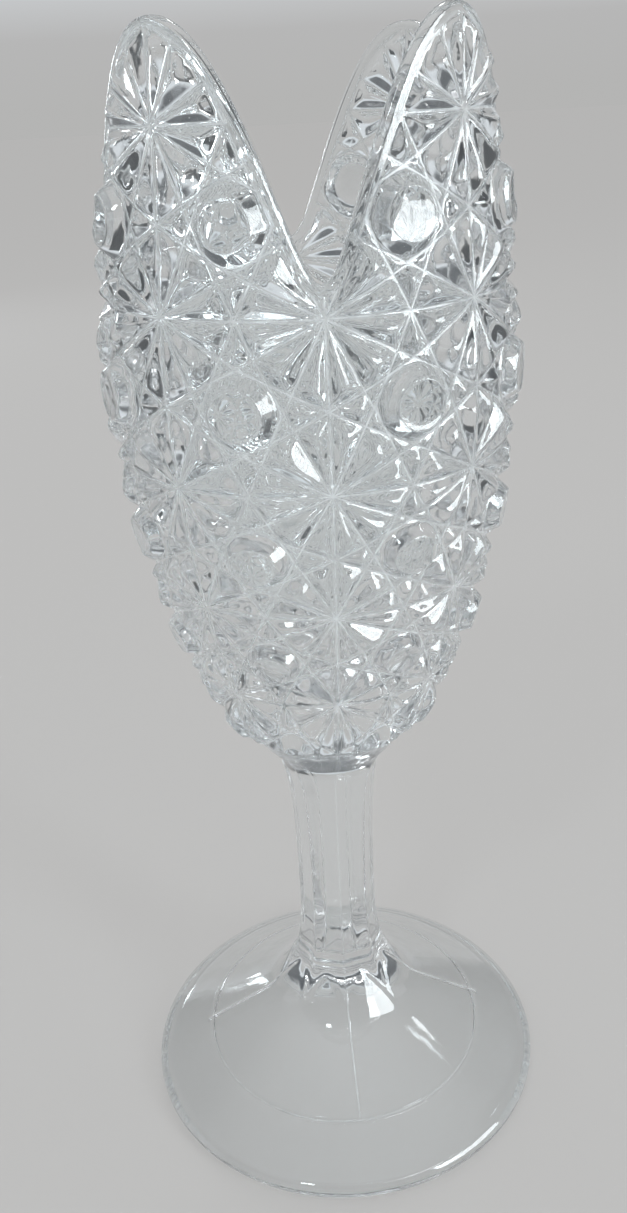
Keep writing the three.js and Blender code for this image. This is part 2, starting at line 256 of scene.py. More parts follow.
def stand_flag(name, first, last):
    """A card that only the glass sees. It darkens upwards, so that no edge shows in the foot."""
    mesh = bpy.data.meshes.new(name)
    points = []
    for azimuth in np.radians(np.linspace(first, last, FLAG_STEPS + 1)):
        x, y = FLAG_DISTANCE * math.sin(azimuth), -FLAG_DISTANCE * math.cos(azimuth)
        points += [(x, y, 0), (x, y, FLAG_HEIGHT)]
    faces = [(2 * n, 2 * n + 2, 2 * n + 3, 2 * n + 1) for n in range(FLAG_STEPS)]
    mesh.from_pydata(points, [], faces)
    flag = bpy.data.objects.new(name, mesh)
    bpy.context.scene.collection.objects.link(flag)
    flag.visible_camera = flag.visible_diffuse = flag.visible_shadow = False
    material = bpy.data.materials.new(name)
    material.use_nodes = True
    material.node_tree.nodes.clear()
    tree = Tree(material.node_tree)
    place = tree.node("ShaderNodeTexCoord", output="Object")
    rise = tree.node("ShaderNodeSeparateXYZ", None, {0: place}, output="Z")
    shade = tree.node("ShaderNodeValToRGB", {"color_ramp": FLAG_SHADES}, {0: rise})
    glow = tree.node("ShaderNodeEmission", None, {"Color": shade})
    tree.node("ShaderNodeOutputMaterial", None, {"Surface": glow})
    mesh.materials.append(material)


stand_flag("flag_left", -148, -108)
stand_flag("flag_right", 108, 148)


# Glass
# Clear colourless soda-lime glass with a slight cool grey. Fire polishing after the pressing
# leaves it glossy, with faint waves from the mould, but the grooves and seams stay a little matt.
GLASS_INDEX = 1.51
CLEAR_COLOUR = (0.968, 0.989, 0.995, 1)
MATT_COLOUR = (0.86, 0.90, 0.92, 1)
LEAST_ROUGHNESS = 0.03
ROUGHNESS_SPREAD = 0.03
MATT_ROUGHNESS = 0.5
WAVE_SCALE = 70.0
GRAIN_SCALE = 900.0
GRAIN_DEPTH = 0.06
BUMP_DISTANCE = 0.00012
STREAK_SCALE = 420.0
STREAK_CONTRAST = 2.6
STREAK_CUT = 0.4
MATT_SHARE = 0.4


def make_glass():
    material = bpy.data.materials.new("pressed_glass")
    material.use_nodes = True
    material.node_tree.nodes.clear()
    tree = Tree(material.node_tree)
    place = tree.node("ShaderNodeTexCoord", output="Object")

    def noise(scale, detail):
        values = {"Vector": place, "Scale": scale, "Detail": detail}
        return tree.node("ShaderNodeTexNoise", None, values)

    waves, grain = noise(WAVE_SCALE, 2.0), noise(GRAIN_SCALE, 2.0)
    height = waves + grain * GRAIN_DEPTH
    bump = tree.node(
        "ShaderNodeBump", None, {"Height": height, "Strength": 1.0, "Distance": BUMP_DISTANCE}
    )
    clear = tree.node(
        "ShaderNodeBsdfPrincipled",
        None,
        {
            "Base Color": CLEAR_COLOUR,
            "Roughness": grain * ROUGHNESS_SPREAD + LEAST_ROUGHNESS,
            "IOR": GLASS_INDEX,
            "Transmission Weight": 1.0,
            "Normal": bump,
        },
    )
    matt = tree.node(
        "ShaderNodeBsdfPrincipled",
        None,
        {
            "Base Color": MATT_COLOUR,
            "Roughness": MATT_ROUGHNESS,
            "IOR": GLASS_INDEX,
            "Normal": bump,
        },
    )
    frost = tree.node("ShaderNodeAttribute", {"attribute_name": "frost"}, output="Fac")
    streaks = noise(STREAK_SCALE, 1.0) * STREAK_CONTRAST - STREAK_CUT
    worn = frost * MATT_SHARE * streaks
    glass = tree.node("ShaderNodeMixShader", None, {0: worn, 1: clear, 2: matt})
    tree.node("ShaderNodeOutputMaterial", None, {"Surface": glass})
    return material


pressed_glass = make_glass()


# Skin of the glass
# The vase is one body of glass, so its foot, stem and bowl share one closed skin. It is built
# loop by loop, from the hollow under the foot, up over the outside and down inside the bowl.
class Skin:
    """Points in mm and faces of one closed surface. Frost is 1 where the glass is matt."""

    def __init__(self):
        self.points = []
        self.frost = []
        self.faces = []

    def add(self, points, frost=0):
        first = len(self.points)
        self.points.extend(tuple(point) for point in points)
        self.frost.extend(np.broadcast_to(frost, len(points)))
        return first

    def loop(self, points, turns, frost=0):
        """Adds a ring of points. A loop is a list of (index, share of a turn), in order."""
        first = self.add(points, frost)
        order = np.argsort(turns, kind="stable")
        return [(first + int(place), float(turns[place])) for place in order]

    def bridge(self, one, other):
        """Joins two loops, taking each time the next point of the loop that is behind."""
        a = b = 0
        while a < len(one) or b < len(other):
            next_a, turn_a = one[(a + 1) % len(one)]
            next_b, turn_b = other[(b + 1) % len(other)]
            here_a, here_b = one[a % len(one)][0], other[b % len(other)][0]
            turn_a += (a + 1) // len(one)
            turn_b += (b + 1) // len(other)
            if b == len(other) or (a < len(one) and turn_a <= turn_b):
                self.faces.append((here_a, next_a, here_b))
                a += 1
            else:
                self.faces.append((here_a, next_b, here_b))
                b += 1
        return other

    def close(self, loop, centre):
        """Closes a loop with a fan onto a point on the axis."""
        middle = self.add([centre])
        for (here, _), (after, _) in zip(loop, loop[1:] + loop[:1]):
            self.faces.append((here, after, middle))


skin = Skin()


def polar(radius, turns, height):
    """Points round the axis. Turn 0 faces -Y, and turns run towards +X."""
    angle = 2 * np.pi * np.asarray(turns)
    return np.column_stack(
        np.broadcast_arrays(radius * np.sin(angle), -radius * np.cos(angle), height)
    )


def bezier(points, steps):
    share = np.linspace(0, 1, steps + 1)[:, None]
    points = [np.array(point, float) for point in points]
    while len(points) > 1:
        points = [a * (1 - share) + b * share for a, b in zip(points, points[1:])]
    return points[0]


# Foot
# A cone of glass on a round rim, hollow underneath, so that it stands on a narrow ring. The
# mould's base left a fine ridge in the hollow, and its four seams run down from the stem.
FOOT_RADIUS = 52.5
RIM_CENTRE = 50.1
RIM_HALF_THICKNESS = 2.5
CONE_SLOPE = 0.559
CONE_TOP_HEIGHT = 22
CONE_TOP_RADIUS = 20.4
FOOT_SHELL = 5.6
CROWN_ROUNDING = 5.5
RIDGE_RADIUS = 35.7
RIDGE_HEIGHT = 0.24
SEAMS = 4
SEAM_END = 38.6
SEAM_HEIGHT = 0.24
SEAM_OFFSETS = np.array([-0.34, -0.16, 0.16, 0.34])
FOOT_STEPS = 160
RIM_ARC = (-82, 60.8)
RIM_RINGS = 13
FIRST_RING = 1
HOLLOW_RINGS = (2, 3.2, 4.5, 6, 8, 10, 12.5, 15, 18, 21, 24, 27, 30, 33, 34.8)
RIDGE_PROFILE = ((-0.36, 0), (-0.2, 0.5), (0, 1), (0.2, 0.5), (0.36, 0))
RIDGE_FROST = 0.45
OUTER_HOLLOW_RINGS = (36.9, 39.5, 42.5, 45.5, 47.5, 48.8)
# Radius, height and frost of the edge that rubs on the table.
STANDING_EDGE = [(49.1, 0.36, 0), (49.4, 0.18, 0.6), (49.65, 0.06, 0.8), (49.95, 0, 0.8)]
STANDING_FROST = 0.5
PLAIN_RINGS = (49, 45, 41.5, SEAM_END)
SEAM_RINGS = (37.6, 35, 32.5, 30, 27.5, 25.2)

even_turns = np.arange(FOOT_STEPS) / FOOT_STEPS


def turns_with_seams(radius):
    """Even turns, and four more beside each mould seam, at a fixed width on the surface."""
    beside = np.arange(SEAMS)[:, None] / SEAMS + SEAM_OFFSETS / (2 * math.pi * np.mean(radius))
    return np.sort(np.mod(np.concatenate([even_turns, beside.ravel()]), 1))


def seam_share(radius, turns):
    """How much of a mould seam stands here: 1 on it, and 0 a hair beside it."""
    off = np.abs(np.mod(turns * SEAMS + 0.5, 1) - 0.5) / SEAMS * 2 * math.pi * radius
    return np.clip(1 - off / SEAM_OFFSETS[-1], 0, 1)


def cone_height(radius):
    return CONE_TOP_HEIGHT - CONE_SLOPE * (radius - CONE_TOP_RADIUS)


def ring(radius, height, turns=None, frost=0):
    turns = turns_with_seams(radius) if turns is None else turns
    return skin.loop(polar(radius, turns, height), turns, frost)


def seam_ring(radius, height):
    """A ring on the cone that rises over the mould seams."""
    turns = turns_with_seams(radius)
    seam = seam_share(radius, turns)
    return ring(radius, height + SEAM_HEIGHT * seam, turns, seam)


def hollow_height(radius):
    return cone_height(math.hypot(radius, CROWN_ROUNDING)) - FOOT_SHELL


def hollow_line():
    """Radius, height and frost under the foot, from its crown out to the ring it stands on."""
    line = [(radius, hollow_height(radius), 0) for radius in HOLLOW_RINGS]
    for off, depth in RIDGE_PROFILE:
        radius = RIDGE_RADIUS + off
        line.append((radius, hollow_height(radius) - RIDGE_HEIGHT * depth, RIDGE_FROST * depth))
    line += [(radius, hollow_height(radius), 0) for radius in OUTER_HOLLOW_RINGS]
    return line + STANDING_EDGE


def make_foot():
    last = ring(FIRST_RING, hollow_height(FIRST_RING))
    skin.close(last, (0, 0, hollow_height(0)))
    for radius, height, frost in hollow_line():
        last = skin.bridge(last, ring(radius, height, frost=frost))
    for step, angle in enumerate(np.radians(np.linspace(*RIM_ARC, RIM_RINGS))):
        radius = RIM_CENTRE + (FOOT_RADIUS - RIM_CENTRE) * np.cos(angle)
        height = RIM_HALF_THICKNESS * (1 + np.sin(angle))
        frost = STANDING_FROST if step == 0 else 0
        last = skin.bridge(last, ring(radius, height, frost=frost))
    for radius in PLAIN_RINGS:
        last = skin.bridge(last, ring(radius, cone_height(radius)))
    for radius in SEAM_RINGS:
        last = skin.bridge(last, seam_ring(radius, cone_height(radius)))
    return last


foot_edge = make_foot()


# Stem
# A solid stem, pressed in one with the foot and the bowl. Its eight flat panels end in arches
# where it flares out onto the foot, and it turns round where it opens into the bowl.
STEM_BASE = (20.2, 22)
STEM_WAIST_RADIUS = 9.9
STEM_WAIST_HEIGHT = 52
STEM_TOP = (13.2, 98.2)
UNDERSIDE_TOP = (21.6, 109)
PANELS = 8
EDGE_SHARPNESS = 42
ARCH_TOP = 33.4
ARCH_DROP = 8.0
ARCH_DEPTH = 2.6
PANELS_END = (93, 103)
STEM_SEAM_SHARE = 0.7
SEAM_FADE = (24, 32)
SEAM_SPACING_RADIUS = 10
FILLET = ((23.8, cone_height(23.8)), (20.3, 22.06), (18.35, 24))
FILLET_RINGS = 6
FLARE_LEVELS = np.arange(24, 37, 0.75)
SHAFT_LEVELS = (37.5, 39.5, 43, 47, 52, 58, 64, 70, 76, 81, 85, 88.5, 91.3, 93.6, 95.5, 97)
NECK_LEVELS = (98, 98.8, 99.8, 101, 102.3, 103.7, 105.2, 106.8, 108.2)
STEM_CURVE_STEPS = 80
UNDERSIDE_CURVE_STEPS = 40

stem_waist = (STEM_WAIST_RADIUS, STEM_WAIST_HEIGHT)
flare_line = bezier(
    [STEM_BASE, (14.5, 28), (STEM_WAIST_RADIUS, 36), stem_waist], STEM_CURVE_STEPS
)
neck_line = bezier(
    [stem_waist, (STEM_WAIST_RADIUS, 72), (9.7, 90), STEM_TOP], STEM_CURVE_STEPS
)
underside_line = bezier([STEM_TOP, (16.8, 103.6), UNDERSIDE_TOP], UNDERSIDE_CURVE_STEPS)
stem_line = np.vstack([flare_line, neck_line[1:], underside_line[1:]])


def panel_weight(height, turns):
    """1 on the flat panels, and 0 where the stem is round below and above them."""
    folded = np.abs(np.mod(turns * PANELS, 1) - 0.5) * 2
    arch = ARCH_TOP - ARCH_DROP * folded**2
    share = np.clip((height - arch) / ARCH_DEPTH + 0.5, 0, 1)
    return share * share * (3 - 2 * share) * np.interp(height, PANELS_END, (1, 0))


def stem_radius(height, turns):
    """Panels are cut back from the circle through the stem's edges."""
    angle = 2 * np.pi * np.asarray(turns)
    middles = 2 * np.pi * (np.arange(PANELS) + 0.5) / PANELS
    facing = np.cos(angle[:, None] - middles[None, :])
    reach = np.log(np.exp(EDGE_SHARPNESS * (facing - 1)).sum(axis=1)) / EDGE_SHARPNESS + 1
    cut_back = np.cos(np.pi / PANELS) / reach - 1
    radius = np.interp(height, stem_line[:, 1], stem_line[:, 0])
    return radius * (1 + panel_weight(height, turns) * cut_back)


def make_stem(last):
    for radius, height in bezier(FILLET, FILLET_RINGS)[:-1]:
        last = skin.bridge(last, seam_ring(radius, height))
    turns = turns_with_seams(SEAM_SPACING_RADIUS)
    for height in (*FLARE_LEVELS, *SHAFT_LEVELS, *NECK_LEVELS):
        radius = stem_radius(height, turns)
        seam = seam_share(radius, turns) * np.interp(height, SEAM_FADE, (1, STEM_SEAM_SHARE))
        last = skin.bridge(last, ring(radius + SEAM_HEIGHT * seam, height, turns, seam * seam))
    return last


stem_edge = make_stem(foot_edge)


# Bowl
# A tulip of glass about 4 mm thick. Straight grooves cross in twelve-rayed stars on its outside,
# in eight columns, and the glass between them stands up in rounded petals and round buttons.
BELLY = (42, 197)
MOUTH_RADIUS = 37.8
WALL = 4.2
CAVITY_FLOOR = 113
STAR_COLUMNS = 8
STAR_ROWS = (275, 243, 211, 178.3, 151.2, 127.5, 92)
RELIEF_FOOT = 109.4
RELIEF_HEIGHT = 0.095
PETAL_SLOPE = 1.15
GROOVE_ROUNDING = 0.013
GROOVE_FROST = (0.001, 0.011)
RIDGE_SHARPNESS = 75
BUTTON_FOOT = 0.207
BUTTON_TOP = 0.142
BUTTON_DISH = 0.014
LINE_STEPS = 60
END_ROUNDING = 0.9
FOOT_TRIM = 0.5
BOWL_SEAM_HEIGHT = 0.2
BOWL_SEAM_WIDTH = 0.3
WALL_CURVE_STEPS = 200


def wall_curve(*points):
    return bezier(points, WALL_CURVE_STEPS)


wall_line = np.vstack(
    [
        [(10.8, 92)],
        underside_line,
        wall_curve(UNDERSIDE_TOP, (33, 125), (42, 165), BELLY)[1:],
        wall_curve(BELLY, (42, 210), (38, 232), (MOUTH_RADIUS, STAR_ROWS[0]))[1:],
    ]
)
cavity_belly = (BELLY[0] - WALL, BELLY[1])
cavity_mouth = (MOUTH_RADIUS - WALL, STAR_ROWS[0])
cavity_line = np.vstack(
    [
        wall_curve((0, CAVITY_FLOOR), (13, CAVITY_FLOOR), (cavity_belly[0], 143), cavity_belly),
        wall_curve(cavity_belly, (cavity_belly[0], 210), (33.8, 232), cavity_mouth)[1:],
    ]
)


def wall_radius(height):
    return np.interp(height, wall_line[:, 1], wall_line[:, 0])


def cavity_radius(height):
    return np.interp(height, cavity_line[:, 1], cavity_line[:, 0])


def guide(name, points, closed=False):
    """A line of points in mm that the relief tree reads, and that is removed after it."""
    edges = [(place, place + 1) for place in range(len(points) - 1)]
    if closed:
        edges.append((len(points) - 1, 0))
    mesh = bpy.data.meshes.new(name)
    mesh.from_pydata([tuple(point) for point in np.asarray(points) * MM], edges, [])
    made = bpy.data.objects.new(name, mesh)
    bpy.context.scene.collection.objects.link(made)
    return made


def make_wall_guide():
    rows = len(STAR_ROWS) - 1
    places = np.arange(rows * LINE_STEPS + 1) / LINE_STEPS
    height = np.interp(places, np.arange(rows + 1), STAR_ROWS)
    radius = wall_radius(height)
    made = guide("wall_line", np.column_stack([radius, np.zeros_like(radius), height]))
    slope = np.interp(height, wall_line[1:, 1], np.gradient(wall_line[1:, 0], wall_line[1:, 1]))
    size = np.hypot(1, slope)
    outward = np.column_stack([1 / size, np.zeros_like(size), -slope / size])
    attribute = made.data.attributes.new("outward", "FLOAT_VECTOR", "POINT")
    attribute.data.foreach_set("vector", outward.ravel())
    return made


# Rim
# Four lobes rise between V-shaped valleys and round over at their tips. A plain band follows the
# edge outside, and fire polishing has rounded the edge itself.
RIM_HEIGHT = 260
VALLEY_HEIGHT = 216.5
LOBES = 4
LOBE_FULLNESS = 2.2
VALLEY_ROUNDING = 0.09
BAND = 2.7
TRIM = 2.0
LIP = 2.8
LIP_TAPER = 18
LIP_RINGS = 11
LIP_GAP = 0.2
RIM_STEPS = 420
FINE_STEPS = 8000
RIM_LINE_STEPS = 1600
RIM_MARKS = 4000


def rim_height(turns):
    folded = np.abs(np.mod(turns * LOBES + 0.5, 1) - 0.5) * 2 * math.pi / LOBES

    def climb(turn):
        return np.hypot(turn, VALLEY_ROUNDING) - VALLEY_ROUNDING

    share = climb(folded) / climb(math.pi / LOBES)
    return VALLEY_HEIGHT + (RIM_HEIGHT - VALLEY_HEIGHT) * (1 - (1 - share) ** LOBE_FULLNESS)


def even_rim(count):
    """Turns at even steps along the rim, and the way into the glass as (turn, height)."""
    fine = np.linspace(0, 1, FINE_STEPS + 1)
    height = rim_height(fine)
    along = np.hypot(np.diff(fine) * 2 * math.pi * MOUTH_RADIUS, np.diff(height))
    length = np.concatenate([[0], np.cumsum(along)])
    places = np.arange(count) / count
    turns = np.interp(places * length[-1], length, fine)
    small = 1e-5
    rise = (rim_height(turns + small) - rim_height(turns - small)) / (2 * small)
    rise /= 2 * math.pi * MOUTH_RADIUS
    size = np.hypot(1, rise)
    return places, turns, rise / size / (2 * math.pi * MOUTH_RADIUS), -1 / size


# The flat cell of the relief: one star in each corner and a button in the middle, in shares of a
# column's width. Rings of points close in on each petal's peak.
STAR, HALFWAY = (0, 0), (0.5, 0)
CROSSING, FLAT_CORNER, SLANT_CORNER = (0.4, 0.2), (0.5, 0.25), (1 / 3, 1 / 3)
EDGE_STEP = 0.055

# Each ring of a button: its way from the foot in to the top, its height as a share of the relief,
# how round it is, and its frost. Then the rings of the dished top: their size and their depth.
BUTTON_SIDE = (
    (0.0, 0.01, 0.25, 0.9),
    (0.0, 0.05, 0.6, 0.1),
    (0.0, 0.16, 1, 0),
    (0.3, 0.45, 1, 0),
    (0.66, 0.78, 1, 0),
    (0.88, 0.95, 1, 0),
    (0.97, 0.995, 1, 0.3),
    (1.03, 1.0, 1, 0.5),
    (1.12, 0.975, 1, 0.05),
)
BUTTON_HOLLOW = ((0.78, 0.45), (0.5, 0.8), (0.25, 0.95))


def split_outline(outline):
    points = []
    for here, after in zip(outline, outline[1:] + outline[:1]):
        here, after = np.array(here), np.array(after)
        steps = max(1, round(float(np.linalg.norm(after - here)) / EDGE_STEP))
        points += [here + (after - here) * step / steps for step in range(steps)]
    return np.array(points)


def petal_lift(points, outline):
    """Height over the grooves, rounded on ridges and on top, and the frost in the grooves."""
    sides = []
    for here, after in zip(outline, outline[1:] + outline[:1]):
        here, after = np.array(here), np.array(after)
        along = (after - here) / np.linalg.norm(after - here)
        away = points - here
        sides.append(np.abs(away[:, 0] * along[1] - away[:, 1] * along[0]))
    sides = np.array(sides)
    near = sides.min(axis=0)
    rounding = np.log(np.exp(-RIDGE_SHARPNESS * (sides - near)).sum(axis=0)) / RIDGE_SHARPNESS
    matt = np.clip((GROOVE_FROST[1] - near) / (GROOVE_FROST[1] - GROOVE_FROST[0]), 0, 1)
    near = near - rounding * np.minimum(1, near * RIDGE_SHARPNESS / 2)
    near = np.hypot(near, GROOVE_ROUNDING) - GROOVE_ROUNDING
    share = PETAL_SLOPE * near / RELIEF_HEIGHT
    return RELIEF_HEIGHT * share / (1 + share**4) ** 0.25, matt


def cell_patches():
    """Outline, peak and ring places of each petal of a cell, turned into all its corners."""

    def flip(point):
        return point[1], point[0]

    def mirror(point):
        return 1 - point[0], point[1]

    narrow = [STAR, HALFWAY, CROSSING]
    wide = [STAR, CROSSING, SLANT_CORNER, flip(CROSSING)]
    kite = [HALFWAY, mirror(CROSSING), FLAT_CORNER, CROSSING]
    wedge = [CROSSING, FLAT_CORNER, SLANT_CORNER]
    corner = [
        (narrow, (0.3863, 0.0854), (0.09, 0.22, 0.47, 0.78)),
        ([flip(point) for point in narrow[::-1]], (0.0854, 0.3863), (0.09, 0.22, 0.47, 0.78)),
        (wide, (0.25, 0.25), (0.08, 0.2, 0.45, 0.75)),
        (kite, (0.5, 1 / 6), (0.12, 0.3, 0.65)),
        (wedge, (0.4167, 0.2521), (0.25, 0.55)),
        ([mirror(point) for point in wedge[::-1]], (0.5833, 0.2521), (0.25, 0.55)),
    ]
    for outline, peak, places in corner:
        for _ in range(4):
            yield outline, peak, places
            outline = [(1 - v, u) for u, v in outline]
            peak = (1 - peak[1], peak[0])


def make_cell():
    points, faces, frost = [], [], []

    def add_rings(rings, top, matt):
        first = len(points)
        count = len(rings[0])
        for level in rings:
            points.extend(level)
        frost.extend(matt)
        for level in range(len(rings) - 1):
            for side in range(count):
                after = (side + 1) % count
                a, b = first + level * count + side, first + level * count + after
                faces.append((a, b, b + count, a + count))
        points.append(top)
        last = first + (len(rings) - 1) * count
        for side in range(count):
            faces.append((last + side, last + (side + 1) % count, len(points) - 1))

    for outline, peak, places in cell_patches():
        edge = split_outline(outline)
        rings, matt = [], []
        for place in (0, *places):
            flat = edge + (np.array(peak) - edge) * place
            lift, level_matt = petal_lift(flat, outline)
            rings.append([(u, v, h if place else 0) for (u, v), h in zip(flat, lift)])
            matt.extend(level_matt)
        lift, peak_matt = petal_lift(np.array([peak]), outline)
        add_rings(rings, (*peak, lift[0]), [*matt, *peak_matt])

    corners = [FLAT_CORNER, (1 - SLANT_CORNER[0], SLANT_CORNER[1])]
    outline = []
    for _ in range(4):
        outline += corners
        corners = [(1 - v, u) for u, v in corners]
    edge = split_outline(outline) - 0.5
    round_edge = edge / np.linalg.norm(edge, axis=1)[:, None]
    rings, matt = [[(u, v, 0) for u, v in edge + 0.5]], [1.0] * len(edge)
    for inward, height, roundness, level_matt in BUTTON_SIDE:
        radius = BUTTON_FOOT + (BUTTON_TOP - BUTTON_FOOT) * inward
        flat = edge * (1 - roundness) + round_edge * radius * roundness + 0.5
        rings.append([(u, v, height * RELIEF_HEIGHT) for u, v in flat])
        matt.extend([level_matt] * len(edge))
    for size, dip in BUTTON_HOLLOW:
        flat = round_edge * BUTTON_TOP * size + 0.5
        rings.append([(u, v, RELIEF_HEIGHT - dip * BUTTON_DISH) for u, v in flat])
        matt.extend([0.0] * len(edge))
    add_rings(rings, (0.5, 0.5, RELIEF_HEIGHT - BUTTON_DISH), [*matt, 0.0])
    mesh = bpy.data.meshes.new("star_cell")
    mesh.from_pydata([tuple(map(float, point)) for point in points], [], faces)
    mesh.attributes.new("frost", "FLOAT", "POINT").data.foreach_set("value", frost)
    made = bpy.data.objects.new("star_cell", mesh)
    bpy.context.scene.collection.objects.link(made)
    return made


# Points closer than this become one: in the flat cells, in column widths, and on the wall, in
# metres.
CELL_JOIN = 2e-4
WALL_JOIN = 4e-6


def make_relief_tree():
    """Repeats the flat cell, and wraps it round the wall between the rim's band and the foot."""
    group = bpy.data.node_groups.new("star_relief", "GeometryNodeTree")
    sockets = (
        ("Cell", "NodeSocketGeometry"),
        ("Columns", "NodeSocketInt"),
        ("Rows", "NodeSocketInt"),
        ("Wall line", "NodeSocketObject"),
        ("Rim line", "NodeSocketObject"),
        ("Line steps", "NodeSocketFloat"),
        ("Band width", "NodeSocketFloat"),
        ("Foot height", "NodeSocketFloat"),
        ("End slope", "NodeSocketFloat"),
        ("End rounding", "NodeSocketFloat"),
        ("Seam height", "NodeSocketFloat"),
        ("Seam width", "NodeSocketFloat"),
        ("Glass", "NodeSocketMaterial"),
    )
    for name, kind in sockets:
        group.interface.new_socket(name, in_out="INPUT", socket_type=kind)
    group.interface.new_socket("Relief", in_out="OUTPUT", socket_type="NodeSocketGeometry")
    tree = Tree(group)
    cell = tree.node("NodeGroupInput")
    given = cell.output
    columns, rows = given("Columns"), given("Rows")
    grid = tree.node(
        "GeometryNodeMeshGrid",
        None,
        {"Size X": columns - 1, "Size Y": rows - 1, "Vertices X": columns, "Vertices Y": rows},
    )
    middle = tree.node("ShaderNodeCombineXYZ", None, {0: (columns - 1) / 2, 1: (rows - 1) / 2})
    grid = tree.node("GeometryNodeTransform", None, {"Geometry": grid, "Translation": middle})
    cells = tree.node("GeometryNodeInstanceOnPoints", None, {"Points": grid, "Instance": cell})
    flat = tree.node("GeometryNodeRealizeInstances", None, {"Geometry": cells})
    flat = tree.node("GeometryNodeMergeByDistance", None, {"Geometry": flat, "Distance": CELL_JOIN})

    place = tree.node("GeometryNodeInputPosition")
    across = tree.node("ShaderNodeSeparateXYZ", None, {0: place})
    down, lift = across.output("Y"), across.output("Z")
    wall = tree.node("GeometryNodeObjectInfo", None, {0: given("Wall line")}, "Geometry")
    step = down * given("Line steps")
    whole = step.math("FLOOR", step)
    part = step - whole
    outward = tree.node(
        "GeometryNodeInputNamedAttribute", {"data_type": "FLOAT_VECTOR"}, {"Name": "outward"}
    )

    def on_wall(field):
        ends = [
            tree.node(
                "GeometryNodeSampleIndex",
                {"data_type": "FLOAT_VECTOR", "clamp": True},
                {"Geometry": wall, "Value": field, "Index": index},
            )
            for index in (whole, whole + 1)
        ]
        mixed = tree.node(
            "ShaderNodeMix", {"data_type": "VECTOR"}, {0: part, 4: ends[0], 5: ends[1]}, 1
        )
        return tree.node("ShaderNodeSeparateXYZ", None, {0: mixed})

    line = on_wall(place)
    lean = on_wall(outward)
    radius, height = line, line.output("Z")
    angle = across * (2 * math.pi) / columns
    sine, cosine = angle.math("SINE", angle), angle.math("COSINE", angle)

    def turned(out, up):
        return tree.node("ShaderNodeCombineXYZ", None, {0: out * sine, 1: out * cosine * -1, 2: up})

    base = turned(radius, height)
    way = turned(lean, lean.output("Z"))
    rim = tree.node("GeometryNodeObjectInfo", None, {0: given("Rim line")}, "Geometry")
    off_rim = tree.node(
        "GeometryNodeProximity",
        {"target_element": "EDGES"},
        {"Geometry": rim, "Sample Position": base},
        "Distance",
    )
    raised = lift * radius * (2 * math.pi) / columns
    slope, rounding = given("End slope"), given("End rounding")
    for room in (off_rim - given("Band width"), height - given("Foot height")):
        room = room.math("MAXIMUM", room * slope, 0)
        raised = room.math("SMOOTH_MIN", raised, room, rounding)
    raised = raised.math("MAXIMUM", raised, 0)
    half = across / 2
    off_seam = half.math("ABSOLUTE", half - half.math("ROUND", half)) * 2
    off_seam = off_seam * radius * (2 * math.pi) / columns
    seam = (1 - off_seam / given("Seam width")) * given("Seam height")
    raised = raised + seam.math("MAXIMUM", seam, 0)
    lifted = tree.node(
        "ShaderNodeVectorMath", {"operation": "MULTIPLY_ADD"}, {0: way, 1: raised, 2: base}
    )
    wrapped = tree.node("GeometryNodeSetPosition", None, {"Geometry": flat, "Position": lifted})
    wrapped = tree.node(
        "GeometryNodeMergeByDistance", None, {"Geometry": wrapped, "Distance": WALL_JOIN}
    )
    wrapped = tree.node("GeometryNodeRealizeInstances", None, {"Geometry": wrapped})
    done = tree.node(
        "GeometryNodeSetMaterial", None, {"Geometry": wrapped, "Material": given("Glass")}
    )
    tree.node("NodeGroupOutput", None, {0: done})
    return group


def make_relief():
    """The wrapped relief: rows of a point in mm with its frost, and triangles."""
    cell = make_cell()
    wall_guide = make_wall_guide()
    turns = np.arange(RIM_LINE_STEPS) / RIM_LINE_STEPS
    height = rim_height(turns)
    rim_guide = guide("rim_line", polar(wall_radius(height), turns, height), closed=True)
    group = make_relief_tree()
    values = {
        "Columns": STAR_COLUMNS,
        "Rows": len(STAR_ROWS) - 1,
        "Wall line": wall_guide,
        "Rim line": rim_guide,
        "Line steps": float(LINE_STEPS),
        "Band width": BAND * MM,
        "Foot height": RELIEF_FOOT * MM,
        "End slope": 1.0,
        "End rounding": END_ROUNDING * MM,
        "Seam height": BOWL_SEAM_HEIGHT * MM,
        "Seam width": BOWL_SEAM_WIDTH * MM,
        "Glass": pressed_glass,
    }
    modifier = cell.modifiers.new("relief", "NODES")
    modifier.node_group = group
    for item in group.interface.items_tree:
        if item.in_out == "INPUT" and item.name in values:
            modifier[item.identifier] = values[item.name]
    depsgraph = bpy.context.evaluated_depsgraph_get()
    mesh = bpy.data.meshes.new_from_object(cell.evaluated_get(depsgraph))
    cell.modifiers.remove(modifier)
    mesh.calc_loop_triangles()
    points = np.empty(len(mesh.vertices) * 3)
    mesh.vertices.foreach_get("co", points)
    frost = np.empty(len(mesh.vertices))
    mesh.attributes["frost"].data.foreach_get("value", frost)
    faces = np.empty(len(mesh.loop_triangles) * 3, int)
    mesh.loop_triangles.foreach_get("vertices", faces)
    for used in (cell, wall_guide, rim_guide):
        data = used.data
        bpy.data.objects.remove(used)
        bpy.data.meshes.remove(data)
    bpy.data.meshes.remove(mesh)
    bpy.data.node_groups.remove(group)
    points = points.reshape(-1, 3) / MM
    return np.column_stack([points, frost]), faces.reshape(-1, 3)


# Points nearer to a cut than this, in mm, stay, so that no slivers are left beside it.
LEAST_ROOM = 0.12


